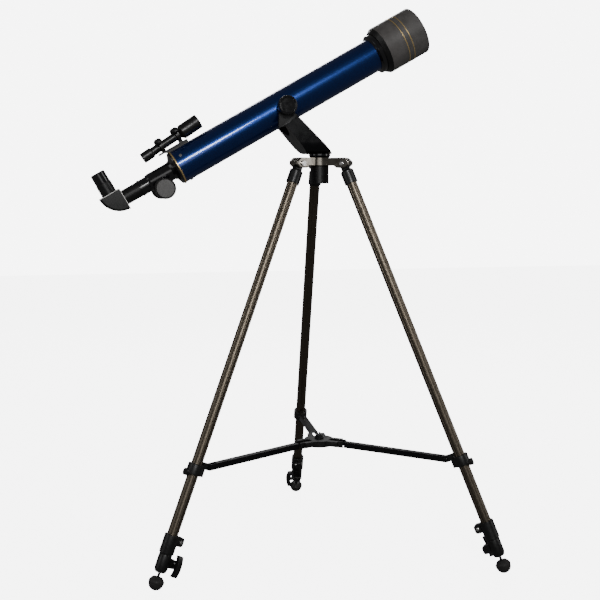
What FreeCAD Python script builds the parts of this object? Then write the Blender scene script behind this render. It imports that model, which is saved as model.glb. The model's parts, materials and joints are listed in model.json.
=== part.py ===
import FreeCAD, Part
import math
import os

# A small refracting telescope on a folding tripod. Millimetres. The origin is on the floor, on
# the axis that the telescope pans about. +Z is up and the tube points along +X, raised.
# The tube's own frame has its origin at the tilt axis, X along the tube and Z above it.
# A leg's own frame has its origin at the hinge and runs down -Z, with X outwards.

# Driving dimensions: where the main parts stand
HINGE_R = 49.0           # leg hinges from the pan axis
HINGE_Z = 750.0
SPLAY = 23.24            # leg from the vertical when open, degrees
LEG_AZIMUTHS = {"rear": 84.0, "left": 204.0, "right": 324.0}
PIVOT_X = -73.5          # tilt axis, behind the pan axis
PIVOT_OVER_FORK = 85.9   # tilt axis over the underside of the fork
ELEVATION = 29.75        # how far the tube is raised, degrees
TILT_UP = 65.0           # highest elevation, degrees
TILT_DOWN = -10.0        # lowest elevation, degrees
FIT = 0.05               # radial play of a shaft in its hole
PLAY = 0.3               # play between parts that slide loosely

# Optical tube and front end
TUBE_R = 31.5
TUBE_WALL = 1.2
TUBE_BACK = -226.0
TUBE_FRONT = 204.0
CELL_R = TUBE_R + 6.5
CELL_FRONT = TUBE_FRONT + 20.0
LENS_R = TUBE_R - 0.5
SHIELD_R = CELL_R + 7.7
SHIELD_WALL = 2.4
SHIELD_BACK = TUBE_FRONT + 11.0
SHIELD_FRONT = SHIELD_BACK + 89.6
BAND_PLACES = (SHIELD_FRONT - 45.0, SHIELD_FRONT - 34.0)
BAND_WIDTH = 1.8

# Focuser, rack and pinion, measured back from the tube
DRAW_R = 14.5
DRAW_WALL = 2.2
DRAW_FRONT = TUBE_BACK + 30.0
DRAW_BACK = TUBE_BACK - 80.0
FOCUSER_R = DRAW_R + 2.5
FOCUSER_END = TUBE_BACK - 62.0
RACK_WIDTH = 5.0
PINION_S = TUBE_BACK - 43.0
MODULE = 0.5
PINION_TEETH = 16
KNOB_R = 19.2
KNOB_IN = 25.0
KNOB_OUT = 45.0

# Star diagonal and eyepiece
DIAGONAL_R = 40.0
DIAGONAL_S = DRAW_BACK - 34.0   # corner that the quarter round is struck from
DIAGONAL_H = 18.5
DIAGONAL_WIDTH = 34.0
EYE_S = DIAGONAL_S - 18.8
BARREL_R = 12.25
LIGHT_R = 10.5
HOLDER_TOP = 41.0
EYEPIECE_TOP = 62.5
HOLDER_R = BARREL_R + 2.0
EYEPIECE_R = BARREL_R + 1.25

# Finder telescope
FINDER_S = TUBE_BACK + 9.0
FINDER_H = TUBE_R + 17.5
FINDER_TILT = 4.5
FINDER_R = 8.0
FINDER_BELL_R = 13.5
FINDER_EYE_R = 9.75
FINDER_WALL = 1.2
RING_R = 14.0
RING_PLACES = (-17.0, 19.0)

# Pan bearing, head and fork
HEAD_TOP = HINGE_Z + 11.0
HEAD_BOTTOM = HINGE_Z - 3.0
SLEEVE_R = 17.5
SLEEVE_BOTTOM = HEAD_BOTTOM - 34.0
SPINDLE_R = 6.0
LUG_WIDTH = 26.0
LUG_REACH = 14.0
CHEEK_IN = TUBE_R + 3.0
CHEEK = 4.0
FORK_FLOOR_Z = HEAD_TOP + 7.5
FORK_FLOOR = 5.0
PIVOT_Z = FORK_FLOOR_Z + PIVOT_OVER_FORK
STUD_R = 4.0
EAR_R = 14.0
ALT_KNOB_R = 17.6
ALT_KNOB_OUT = CHEEK_IN + 22.5

# Legs, measured down from the hinge
FOOT_R = 13.5
FOOT_STAND = 12.9        # height of the foot's round over the floor, less than its radius
FOOT_DOWN = (HINGE_Z - FOOT_STAND) / math.cos(math.radians(SPLAY))
LEG_R = 10.0
LEG_WALL = 1.4
LEG_END = FOOT_DOWN - 60.2
FLUTES = 12
SOCKET_R = LEG_R + 2.5
SOCKET_TOP = 13.0
SOCKET_END = 40.0
HINGE_PIN_R = 3.0
TONGUE = 12.0
COLLAR_R = LEG_R + 3.5
COLLAR_LOW_R = LEG_R + 2.0
COLLAR_TOP = LEG_END - 27.0
COLLAR_STEP = LEG_END + 8.0
COLLAR_END = LEG_END + 40.0
LOWER_R = LEG_R - LEG_WALL - PLAY
LOWER_TOP = 300.0
LOCK_DOWN = LEG_END + 23.0
LOCK_IN = LEG_R + 8.5
LUG_IN = LEG_R + 15.0

# Spreader
ARM_PIN_DOWN = 584.5
ARM_PIN_IN = LEG_R + 17.0
ARM_WIDTH = 13.0
ARM_HEIGHT = 11.0
ARM_WALL = 1.5
ARM_NOTCH = 16.0
ARM_PIN_R = 2.5
HUB_PIN_R = 30.0
HUB_RISE = 8.73          # hub's middle over the arms' outer pins, legs open
HUB_CORE_R = 22.0
HUB_EAR_END = 53.0
HUB_EAR = 2.6
HUB_HEIGHT = 12.0
RING_DOWN = ARM_PIN_DOWN + 10.5

X = FreeCAD.Vector(1, 0, 0)
Y = FreeCAD.Vector(0, 1, 0)
Z = FreeCAD.Vector(0, 0, 1)
ORIGIN = FreeCAD.Vector(0, 0, 0)


def vec(x, y, z):
    return FreeCAD.Vector(x, y, z)


def rod(radius, start, end):
    """A cylinder from one point to another."""
    return Part.makeCylinder(radius, (end - start).Length, start, end - start)


def pipe(outer, inner, start, end):
    """A rod with a hole through it."""
    return rod(outer, start, end).cut(rod(inner, start, end))


def block(x0, x1, y0, y1, z0, z1):
    return Part.makeBox(x1 - x0, y1 - y0, z1 - z0, vec(x0, y0, z0))


def turned(outline, axis=X, start=ORIGIN):
    """A solid turned about an axis from (along, radius) points."""
    points = [vec(along, 0, radius) for along, radius in outline]
    solid = Part.Face(Part.makePolygon(points + points[:1])).revolve(ORIGIN, X, 360)
    solid = Part.makeSolid(solid) if solid.ShapeType != "Solid" else solid
    solid.Placement = FreeCAD.Placement(start, FreeCAD.Rotation(X, axis))
    return solid


def plate(outline, y0, y1):
    """A flat plate from (x, z) points, between two places in Y."""
    points = [vec(x, y0, z) for x, z in outline]
    return Part.Face(Part.makePolygon(points + points[:1])).extrude(vec(0, y1 - y0, 0))


def joined(shapes):
    whole = shapes[0]
    for shape in shapes[1:]:
        whole = whole.fuse(shape)
    return whole.removeSplitter()


def without(shape, cutters):
    for cutter in cutters:
        shape = shape.cut(cutter)
    return shape


def on_tube(shape):
    """From the tube's frame to its place on the mount."""
    placed = shape.copy()
    placed.rotate(ORIGIN, Y, -ELEVATION)
    placed.translate(vec(PIVOT_X, 0, PIVOT_Z))
    return placed


def on_leg(shape, azimuth):
    """From a leg's frame to the open leg at one azimuth."""
    placed = shape.copy()
    placed.rotate(ORIGIN, Y, -SPLAY)
    placed.translate(vec(HINGE_R, 0, HINGE_Z))
    placed.rotate(ORIGIN, Z, azimuth)
    return placed


def save(name, shape):
    """Write one sub-part, as one solid or as a group of separate solids."""
    solids = shape.Solids
    if len(solids) == 1:
        shape = solids[0]
    else:
        shape = Part.makeCompound(solids)
    shape.exportStep(os.path.join("parts", name + ".step"))


# ---------------------------------------------------------------- optical tube

TUBE_BORE = TUBE_R - TUBE_WALL
TRIM = 2.8
TRIM_STANDS = 1.3
FLANGE = 3.2
SPIGOT = 14.0
SPIGOT_WALL = 2.0
SCREW_R = 1.5
SCREW_HEAD_R = 2.8
SCREW_HEAD = 1.5
REAR_SCREW_S = TUBE_BACK + 0.85 * SPIGOT
REAR_SCREW_ANGLE = 59.0


def radial(angle, radius, s):
    """A point round the tube: 0 degrees is on top, 90 degrees is on the -Y side."""
    turn = math.radians(angle)
    return vec(s, -radius * math.sin(turn), radius * math.cos(turn))


def rear_screw_places():
    return [(REAR_SCREW_ANGLE + 120 * i) for i in range(3)]


def rear_screws(radius_in):
    shanks = [rod(SCREW_R, radial(a, radius_in, REAR_SCREW_S), radial(a, TUBE_R + 0.6, REAR_SCREW_S))
              for a in rear_screw_places()]
    return shanks


def main_tube():
    tube = pipe(TUBE_R, TUBE_BORE, vec(TUBE_BACK, 0, 0), vec(TUBE_FRONT, 0, 0))
    return without(tube, rear_screws(TUBE_BORE - SPIGOT_WALL))


def rear_trim_ring():
    ring = pipe(TUBE_R + TRIM_STANDS, TUBE_BORE, vec(TUBE_BACK - TRIM, 0, 0), vec(TUBE_BACK, 0, 0))
    edges = [e for e in ring.Edges if abs(e.BoundBox.ZMax - TUBE_R - TRIM_STANDS) < 0.01]
    return ring.makeFillet(0.35 * TRIM, edges)


def rear_cell_screws():
    heads = []
    for angle, shank in zip(rear_screw_places(), rear_screws(TUBE_BORE - SPIGOT_WALL)):
        seat = radial(angle, TUBE_R, REAR_SCREW_S)
        top = radial(angle, TUBE_R + SCREW_HEAD, REAR_SCREW_S)
        head = rod(SCREW_HEAD_R, seat, top).cut(rod(TUBE_R, vec(TUBE_BACK, 0, 0), ORIGIN))
        heads.append(head.fuse(shank).removeSplitter())
    return Part.makeCompound(heads)


def baffle():
    place = 0.35 * TUBE_FRONT
    return pipe(TUBE_BORE, 0.72 * TUBE_BORE, vec(place, 0, 0), vec(place + 1, 0, 0))


BOSS_R = 13.0
BOSS_GAP = 0.3
STUD_END = ALT_KNOB_OUT - 5.0


def pivot_bosses():
    """A saddle and a threaded stud on each side of the tube."""
    bosses = []
    for side in (-1, 1):
        saddle = rod(BOSS_R, vec(0, side * 0.6 * TUBE_R, 0), vec(0, side * (CHEEK_IN - BOSS_GAP), 0))
        stud = rod(STUD_R, vec(0, side * 0.6 * TUBE_R, 0), vec(0, side * STUD_END, 0))
        whole = saddle.fuse(stud).cut(rod(TUBE_R, vec(-60, 0, 0), vec(60, 0, 0)))
        bosses.append(whole.removeSplitter())
    return Part.makeCompound(bosses)


# ---------------------------------------------------------------- front end

LENS_SEAT = TUBE_FRONT + 4.0
CROWN = 6.0
FLINT = 3.5
LENS_SAG = 1.6
LENS_LAND = 0.6           # flat ring ground round a hollow lens face
RETAINER = 3.0
CELL_LIP = 1.5
SHIELD_CHAMFER = 8.0
SHIELD_BACK_WALL = 3.0


def lens_cell():
    outline = [(TUBE_FRONT - SPIGOT, TUBE_BORE), (TUBE_FRONT, TUBE_BORE), (TUBE_FRONT, TUBE_R + 1.5),
               (TUBE_FRONT + 3, CELL_R), (CELL_FRONT, CELL_R), (CELL_FRONT, LENS_R),
               (LENS_SEAT, LENS_R), (LENS_SEAT, LENS_R - 2), (TUBE_FRONT - SPIGOT, TUBE_BORE - 2)]
    return turned(outline)


def lens_ball(rim, radius, sag):
    """The ball whose cap stands off a round rim by its sag, along the axis."""
    ball_r = (radius ** 2 + sag ** 2) / (2 * abs(sag))
    centre = rim + sag - math.copysign(ball_r, sag)
    return Part.makeSphere(ball_r, vec(centre, 0, 0))


def lens(radius, back, front, back_sag, front_sag):
    """A round lens whose faces stand off along the axis by their sags; 0 is a flat face."""
    blank_back = back + 2 * min(0, back_sag)
    blank_front = front + 2 * max(0, front_sag)
    glass = rod(radius, vec(blank_back, 0, 0), vec(blank_front, 0, 0))
    if front_sag > 0:
        glass = glass.common(lens_ball(front, radius, front_sag))
    if front_sag < 0:
        glass = glass.cut(lens_ball(front, radius - LENS_LAND, front_sag))
    if back_sag < 0:
        glass = glass.common(lens_ball(back, radius, back_sag))
    if back_sag > 0:
        glass = glass.cut(lens_ball(back, radius - LENS_LAND, back_sag))
    return glass


def objective_lens():
    crown = lens(LENS_R, LENS_SEAT + FLINT + 1, LENS_SEAT + FLINT + CROWN, -LENS_SAG * 0.5, LENS_SAG)
    flint = lens(LENS_R, LENS_SEAT, LENS_SEAT + FLINT, 0.4, -LENS_SAG * 0.6)
    return Part.makeCompound([flint, crown])


def lens_retainer():
    back = LENS_SEAT + FLINT + CROWN + PLAY
    return pipe(LENS_R, LENS_R - 2.5, vec(back, 0, 0), vec(back + RETAINER, 0, 0))


def dew_shield():
    bore = CELL_R + FIT
    inner = SHIELD_R - SHIELD_WALL
    waist = bore + 2
    outline = [(SHIELD_BACK, bore), (SHIELD_BACK, waist),
               (SHIELD_BACK + SHIELD_CHAMFER, SHIELD_R), (SHIELD_FRONT - 1, SHIELD_R),
               (SHIELD_FRONT, SHIELD_R - 1), (SHIELD_FRONT, inner),
               (SHIELD_BACK + SHIELD_CHAMFER + SHIELD_BACK_WALL, inner),
               (SHIELD_BACK + SHIELD_CHAMFER, bore)]
    shield = turned(outline)
    grooves = [pipe(SHIELD_R + 1, SHIELD_R - 0.4, vec(s - BAND_WIDTH / 2, 0, 0),
                    vec(s + BAND_WIDTH / 2, 0, 0)) for s in BAND_PLACES]
    return without(shield, grooves)


def dew_shield_bands():
    return Part.makeCompound([
        pipe(SHIELD_R + 0.25, SHIELD_R - 0.4, vec(s - BAND_WIDTH / 2, 0, 0),
             vec(s + BAND_WIDTH / 2, 0, 0)) for s in BAND_PLACES])


# ---------------------------------------------------------------- focuser

FLANGE_BACK = TUBE_BACK - TRIM - FLANGE
CONE = 9.0
BOX_HALF_WIDTH = 11.0
BOX_HALF_LENGTH = 10.0
PITCH_R = MODULE * PINION_TEETH / 2
ADDENDUM = 0.9 * MODULE
DEDENDUM = 1.3 * MODULE
BACKLASH = 0.25
TOOTH_HALF = math.pi * MODULE / 4 - BACKLASH / 2
FLANK = math.tan(math.radians(20))
RACK_PITCH_H = -(DRAW_R + 2.2)
PINION_H = RACK_PITCH_H - PITCH_R
SHAFT_R = 2.5
RACK_FRONT = PINION_S + 66.0
RACK_BACK = PINION_S - 17.0
RACK_BED = DRAW_R - 1.2


def focuser_housing():
    bore = DRAW_R + FIT
    outline = [(TUBE_BACK - TRIM, TUBE_R), (TUBE_BACK - TRIM, TUBE_BORE),
               (TUBE_BACK + SPIGOT, TUBE_BORE), (TUBE_BACK + SPIGOT, TUBE_BORE - SPIGOT_WALL),
               (TUBE_BACK - TRIM, TUBE_BORE - SPIGOT_WALL), (TUBE_BACK - TRIM, bore),
               (FOCUSER_END, bore), (FOCUSER_END, bore + 1), (FOCUSER_END + 5, FOCUSER_R),
               (FLANGE_BACK - CONE, FOCUSER_R), (FLANGE_BACK - CONE / 2, 0.62 * TUBE_R),
               (FLANGE_BACK, TUBE_R - 1)]
    body = turned(outline)
    low = PINION_H - PITCH_R - 2.5
    box = block(PINION_S - BOX_HALF_LENGTH, PINION_S + BOX_HALF_LENGTH,
                -BOX_HALF_WIDTH, BOX_HALF_WIDTH, low, 0)
    edges = [e for e in box.Edges if e.BoundBox.ZMax < low + 0.01]
    box = box.makeFillet(2, edges)
    body = body.fuse(box).cut(rod(bore, vec(FOCUSER_END - 1, 0, 0), vec(TUBE_BACK - TRIM, 0, 0)))
    keyway = block(FOCUSER_END - 1, TUBE_BACK - TRIM + 1, -RACK_WIDTH / 2 - PLAY,
                   RACK_WIDTH / 2 + PLAY, RACK_PITCH_H - ADDENDUM - PLAY, 0)
    pocket = rod(PITCH_R + ADDENDUM + PLAY, vec(PINION_S, -RACK_WIDTH / 2 - PLAY, PINION_H),
                 vec(PINION_S, RACK_WIDTH / 2 + PLAY, PINION_H))
    shaft_hole = rod(SHAFT_R + FIT, vec(PINION_S, -30, PINION_H), vec(PINION_S, 30, PINION_H))
    holes = rear_screws(TUBE_BORE - SPIGOT_WALL)
    return without(body, [keyway, pocket, shaft_hole] + holes).removeSplitter()


def drawtube():
    tube = pipe(DRAW_R, DRAW_R - DRAW_WALL, vec(DRAW_BACK, 0, 0), vec(DRAW_FRONT, 0, 0))
    rim = pipe(DRAW_R + 0.8, DRAW_R - DRAW_WALL, vec(DRAW_BACK, 0, 0), vec(DRAW_BACK + 3.5, 0, 0))
    bed = block(RACK_BACK, RACK_FRONT, -RACK_WIDTH / 2, RACK_WIDTH / 2, -DRAW_R - 1, -RACK_BED)
    return joined([tube, rim]).cut(bed)


def focus_rack():
    """A bar with teeth along its lower side, meshing with the pinion."""
    pitch = math.pi * MODULE
    root = RACK_PITCH_H + DEDENDUM
    tip = RACK_PITCH_H - ADDENDUM
    count_front = int((RACK_FRONT - PINION_S) / pitch) - 1
    count_back = int((PINION_S - RACK_BACK) / pitch) - 1
    outline = [(RACK_BACK, -RACK_BED), (RACK_BACK, root)]
    for i in range(-count_back, count_front):
        centre = PINION_S + (i + 0.5) * pitch
        wide = TOOTH_HALF + FLANK * DEDENDUM
        narrow = TOOTH_HALF - FLANK * ADDENDUM
        outline += [(centre - wide, root), (centre - narrow, tip),
                    (centre + narrow, tip), (centre + wide, root)]
    outline += [(RACK_FRONT, root), (RACK_FRONT, -RACK_BED)]
    return plate(outline, -RACK_WIDTH / 2, RACK_WIDTH / 2)


def pinion_shaft():
    """The toothed pinion in one piece with the shaft that carries both focus knobs."""
    levels = [(PITCH_R - DEDENDUM, TOOTH_HALF + 0.5 * FLANK * DEDENDUM), (PITCH_R, TOOTH_HALF),
              (PITCH_R + ADDENDUM, TOOTH_HALF - FLANK * ADDENDUM)]
    outline = []
    for i in range(PINION_TEETH):
        middle = math.pi / 2 + 2 * math.pi * i / PINION_TEETH
        flank = [(radius, -half / radius) for radius, half in levels]
        flank += [(radius, half / radius) for radius, half in reversed(levels)]
        outline += [(PINION_S + radius * math.cos(middle + turn),
                     PINION_H + radius * math.sin(middle + turn)) for radius, turn in flank]
    gear = plate(outline, -RACK_WIDTH / 2, RACK_WIDTH / 2)
    shaft = rod(SHAFT_R, vec(PINION_S, -KNOB_OUT + 3, PINION_H), vec(PINION_S, KNOB_OUT - 3, PINION_H))
    return gear.fuse(shaft).removeSplitter()


def focus_knobs():
    knobs = []
    for side in (-1, 1):
        start = vec(PINION_S, side * (BOX_HALF_WIDTH + 0.5), PINION_H)
        neck = KNOB_IN - BOX_HALF_WIDTH - 0.5
        full = KNOB_OUT - BOX_HALF_WIDTH - 0.5
        outline = [(0, SHAFT_R), (0, 6), (neck, 6), (neck, KNOB_R - 1.5), (neck + 1.5, KNOB_R),
                   (full - 1.5, KNOB_R), (full, KNOB_R - 1.2), (full, KNOB_R - 1.9),
                   (full - 1.2, KNOB_R - 2.4), (full - 1.2, 0), (full - 3, 0), (full - 3, SHAFT_R)]
        knobs.append(turned(outline, vec(0, side, 0), start))
    return Part.makeCompound(knobs)


# ---------------------------------------------------------------- diagonal and eyepiece

NOSE = 20.0
NECK_R = DRAW_R - 0.5
PLATE_THICK = 1.0
PRISM_HALF = 11.0


def diagonal_housing():
    half = DIAGONAL_WIDTH / 2
    corner = vec(DIAGONAL_S, 0, DIAGONAL_H)
    disc = rod(DIAGONAL_R, vec(DIAGONAL_S, -half, DIAGONAL_H), vec(DIAGONAL_S, half, DIAGONAL_H))
    quarter = disc.common(block(corner.x - 60, corner.x, -half, half, corner.z - 60, corner.z))
    round_edges = [e for e in quarter.Edges if e.Curve.TypeId == "Part::GeomCircle"]
    quarter = quarter.makeFillet(4, round_edges)
    neck = rod(NECK_R, vec(DIAGONAL_S - 1, 0, 0), vec(DRAW_BACK - 0.2, 0, 0))
    nose = rod(DRAW_R - DRAW_WALL - FIT, vec(DRAW_BACK - 0.2, 0, 0), vec(DRAW_BACK + NOSE, 0, 0))
    holder = rod(HOLDER_R, vec(EYE_S, 0, DIAGONAL_H - 1), vec(EYE_S, 0, HOLDER_TOP))
    light_in = rod(LIGHT_R, vec(EYE_S + PRISM_HALF - 1, 0, 0), vec(DRAW_BACK + NOSE, 0, 0))
    light_out = rod(LIGHT_R, vec(EYE_S, 0, 0), vec(EYE_S, 0, HOLDER_TOP))
    barrel = rod(BARREL_R + FIT, vec(EYE_S, 0, DIAGONAL_H + 2), vec(EYE_S, 0, HOLDER_TOP))
    return without(joined([quarter, neck, nose, holder]),
                   [prism_pocket(), light_in, light_out, barrel])


def prism_outline():
    return [(EYE_S - PRISM_HALF, PRISM_HALF), (EYE_S + PRISM_HALF, PRISM_HALF),
            (EYE_S + PRISM_HALF, -PRISM_HALF)]


def prism_pocket():
    return plate(prism_outline(), -PRISM_HALF, PRISM_HALF)


def diagonal_prism():
    return plate(prism_outline(), -PRISM_HALF, PRISM_HALF)


def diagonal_plates():
    """Thin bright plates that close the two flat faces of the housing."""
    half = DIAGONAL_WIDTH / 2 + 0.4
    top = block(DIAGONAL_S - DIAGONAL_R, DIAGONAL_S, -half, half, DIAGONAL_H, DIAGONAL_H + PLATE_THICK)
    top = top.cut(rod(HOLDER_R, vec(EYE_S, 0, 0), vec(EYE_S, 0, HOLDER_TOP)))
    side = block(DIAGONAL_S, DIAGONAL_S + PLATE_THICK, -half, half, DIAGONAL_H - DIAGONAL_R - 1,
                 DIAGONAL_H)
    side = side.cut(rod(NECK_R, vec(DIAGONAL_S - 5, 0, 0), vec(DRAW_BACK, 0, 0)))
    return Part.makeCompound([top, side])


def eyepiece_body():
    base = DIAGONAL_H + 4
    outline = [(base, LIGHT_R), (base, BARREL_R), (HOLDER_TOP, BARREL_R), (HOLDER_TOP, EYEPIECE_R),
               (EYEPIECE_TOP - 1.5, EYEPIECE_R), (EYEPIECE_TOP, EYEPIECE_R - 1.5),
               (EYEPIECE_TOP, 8), (EYEPIECE_TOP - 2, 7), (EYEPIECE_TOP - 4, 7),
               (EYEPIECE_TOP - 4, LIGHT_R)]
    return turned(outline, Z, vec(EYE_S, 0, 0))


def eyepiece_lenses():
    eye = lens(LIGHT_R, EYEPIECE_TOP - 8, EYEPIECE_TOP - 5.2, 0, 1.1)
    field = lens(LIGHT_R, DIAGONAL_H + 8, DIAGONAL_H + 11, 0, 2)
    both = Part.makeCompound([eye, field])
    both.Placement = FreeCAD.Placement(vec(EYE_S, 0, 0), FreeCAD.Rotation(X, Z))
    return both


# ---------------------------------------------------------------- finder

FINDER_BACK = -57.0
FINDER_FRONT = 67.0
FOOT_FRONT = -186.0
FOOT_BACK = -245.0
FOOT_HALF = 9.0
RING_THICK = 6.0
RING_WALL = 2.8
THUMB_GAP = 0.5
THUMB_R = 6.0
THUMB_ANGLES = (-60.0, 60.0)


def on_finder(shape):
    """From the finder's own frame to the tube's frame."""
    placed = shape.copy()
    placed.rotate(ORIGIN, Y, -FINDER_TILT)
    placed.translate(vec(FINDER_S, 0, FINDER_H))
    return placed


def finder_tube():
    outline = [(FINDER_BACK, FINDER_EYE_R - 2), (FINDER_BACK, FINDER_EYE_R),
               (FINDER_BACK + 20, FINDER_EYE_R), (FINDER_BACK + 21.5, FINDER_R), (24, FINDER_R),
               (30, FINDER_BELL_R), (FINDER_FRONT, FINDER_BELL_R),
               (FINDER_FRONT, FINDER_BELL_R - 1.5), (32, FINDER_BELL_R - 1.5), (26, FINDER_R - FINDER_WALL),
               (FINDER_BACK + 8, FINDER_R - FINDER_WALL), (FINDER_BACK + 8, FINDER_EYE_R - 2)]
    return on_finder(turned(outline))


def finder_lenses():
    objective = lens(FINDER_BELL_R - 1.5, 40, 42.5, -0.6, 1.2)
    eye = lens(FINDER_R - FINDER_WALL, FINDER_BACK + 9, FINDER_BACK + 11, 0, 0.8)
    return on_finder(Part.makeCompound([objective, eye]))


def thumb_shank(place, angle, inner):
    return rod(SCREW_R, radial(angle, inner, place), radial(angle, RING_R + 4, place))


def finder_bracket():
    """Two rings on a foot that is curved to the tube and overhangs its rear end."""
    rings = []
    for place in RING_PLACES:
        ring = pipe(RING_R, RING_R - RING_WALL, vec(place - RING_THICK / 2, 0, 0),
                    vec(place + RING_THICK / 2, 0, 0))
        rings.append(on_finder(ring))
    foot = block(FOOT_BACK, FOOT_FRONT, -FOOT_HALF, FOOT_HALF, TUBE_R - 3, TUBE_R + 5.5)
    legs = []
    for place in RING_PLACES:
        middle = FINDER_S + place
        legs.append(block(middle - RING_THICK / 2, middle + RING_THICK / 2, -FOOT_HALF + 2,
                          FOOT_HALF - 2, TUBE_R + 3, FINDER_H - 0.7 * RING_R))
    whole = joined(rings + legs + [foot])
    bores = [on_finder(rod(RING_R - RING_WALL, vec(place - 6, 0, 0), vec(place + 6, 0, 0)))
             for place in RING_PLACES]
    holes = [on_finder(thumb_shank(place, angle, 1)) for place in RING_PLACES for angle in THUMB_ANGLES]
    tube_and_trim = [rod(TUBE_R, vec(TUBE_BACK, 0, 0), vec(0, 0, 0)),
                     rod(TUBE_R + TRIM_STANDS + 0.3, vec(FLANGE_BACK - 2, 0, 0), vec(TUBE_BACK, 0, 0))]
    below = block(FOOT_BACK - 1, FLANGE_BACK, -30, 30, TUBE_R - 10, TUBE_R + 2)
    return without(whole, bores + holes + tube_and_trim + [below])


def finder_thumbscrews():
    screws = []
    for place in RING_PLACES:
        for angle in THUMB_ANGLES:
            shank = thumb_shank(place, angle, FINDER_R + THUMB_GAP)
            base = radial(angle, RING_R + 3, place)
            outline = [(0, 0), (0, THUMB_R - 1), (1, THUMB_R), (4, THUMB_R), (6, THUMB_R - 1.8),
                       (7, 0)]
            head = turned(outline, radial(angle, 1, 0), base)
            screws.append(on_finder(shank.fuse(head).removeSplitter()))
    return Part.makeCompound(screws)


# ---------------------------------------------------------------- fork and pan bearing

FORK_REAR = -27.0
FORK_FRONT = 19.0
FORK_BEND_R = 22.0
WEB = 4.5
RECESS = 1.0
TUBE_SWEEP_R = TUBE_R + 2.8
DISC_R = 20.5


def fork_side():
    """The fork's outline from the side, up to the ears."""
    ear_back = PIVOT_X - EAR_R
    ear_front = PIVOT_X + EAR_R
    return [(FORK_REAR, FORK_FLOOR_Z), (FORK_FRONT, FORK_FLOOR_Z), (PIVOT_X + 17, PIVOT_Z - 12.5),
            (ear_front, PIVOT_Z), (ear_back, PIVOT_Z), (ear_back, PIVOT_Z - 40),
            (PIVOT_X + 0.5, PIVOT_Z - 37), (FORK_REAR - 4.8, FORK_FLOOR_Z + 1.5)]


def fork_front(half_width, floor, bend):
    """A U outline across the fork, open at the top, filled in."""
    top = PIVOT_Z + EAR_R + 5
    box = block(-150, 60, -half_width, half_width, floor, top)
    edges = [e for e in box.Edges if e.BoundBox.ZMax < floor + 0.01 and e.BoundBox.XLength > 100]
    return box.makeFillet(bend, edges)


def fork():
    outer = CHEEK_IN + CHEEK
    side = plate(fork_side(), -outer, outer)
    ears = rod(EAR_R, vec(PIVOT_X, -outer, PIVOT_Z), vec(PIVOT_X, outer, PIVOT_Z))
    solid = joined([side, ears]).common(fork_front(outer, FORK_FLOOR_Z, FORK_BEND_R))
    hollow = fork_front(CHEEK_IN, FORK_FLOOR_Z + FORK_FLOOR, FORK_BEND_R - CHEEK)
    behind = math.atan2(37 + FORK_FLOOR_Z - PIVOT_Z, FORK_REAR - 4.8 - PIVOT_X - 0.5)
    shift = vec(-math.sin(behind) * WEB, 0, math.cos(behind) * WEB)
    past_web = [(PIVOT_X + 0.5, PIVOT_Z - 37), (FORK_REAR - 4.8, FORK_FLOOR_Z + 1.5),
                (FORK_FRONT + 60, FORK_FLOOR_Z + 1.5), (FORK_FRONT + 60, PIVOT_Z + 60),
                (PIVOT_X - 60, PIVOT_Z + 60), (PIVOT_X - 60, PIVOT_Z - 37)]
    space = plate(past_web, -outer - 1, outer + 1)
    space.translate(vec(abs(shift.x), 0, abs(shift.z)))
    hollow = hollow.common(space)
    cutters = [hollow]
    for elevation in (TILT_DOWN, 10, ELEVATION, 45, 55, TILT_UP):
        turn = math.radians(elevation)
        along = vec(math.cos(turn), 0, math.sin(turn)) * 150
        centre = vec(PIVOT_X, 0, PIVOT_Z)
        cutters.append(rod(TUBE_SWEEP_R, centre - along, centre + along))
    cutters.append(rod(STUD_R + FIT, vec(PIVOT_X, -60, PIVOT_Z), vec(PIVOT_X, 60, PIVOT_Z)))
    cutters.append(rod(SPINDLE_R, vec(0, 0, FORK_FLOOR_Z - 1), vec(0, 0, FORK_FLOOR_Z + 20)))
    crease = PIVOT_Z - 41.5
    rise = math.tan(math.radians(30))
    upper = [(PIVOT_X - 30, crease - 16 * rise), (PIVOT_X + 60, crease + 74 * rise),
             (PIVOT_X + 60, PIVOT_Z + 40), (PIVOT_X - 30, PIVOT_Z + 40)]
    cutters.append(plate(upper, -outer - 1, -outer + RECESS))
    cutters.append(plate(upper, outer - RECESS, outer + 1))
    return without(solid, cutters).removeSplitter()


def altitude_knob(side):
    """A clamp knob on the tube's stud: dished face, rolled rim, boss towards the fork."""
    inner = CHEEK_IN + CHEEK - RECESS
    deep = ALT_KNOB_OUT - inner
    stud_room = STUD_END + 0.5 - inner
    outline = [(0, STUD_R + FIT), (0, 11), (3, 11), (4.5, ALT_KNOB_R - 1), (6, ALT_KNOB_R),
               (deep - 2, ALT_KNOB_R), (deep, ALT_KNOB_R - 1.5), (deep, ALT_KNOB_R - 2.8),
               (deep - 1.6, ALT_KNOB_R - 4), (deep - 1.6, 0), (stud_room, 0),
               (stud_room, STUD_R + FIT)]
    return turned(outline, vec(0, side, 0), vec(0, side * inner, 0))


def azimuth_disc():
    outline = [(HEAD_TOP, SPINDLE_R + FIT), (HEAD_TOP, DISC_R - 3), (HEAD_TOP + 4, DISC_R),
               (FORK_FLOOR_Z, DISC_R), (FORK_FLOOR_Z, SPINDLE_R + FIT)]
    return turned(outline, Z)


def hexagon(across, z0, z1):
    corner = across / math.sqrt(3)
    points = [vec(corner * math.cos(math.radians(60 * i)), corner * math.sin(math.radians(60 * i)), z0)
              for i in range(7)]
    return Part.Face(Part.makePolygon(points)).extrude(vec(0, 0, z1 - z0))


NUT_POCKET = 15.0
NUT_POCKET_R = 11.8


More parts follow.
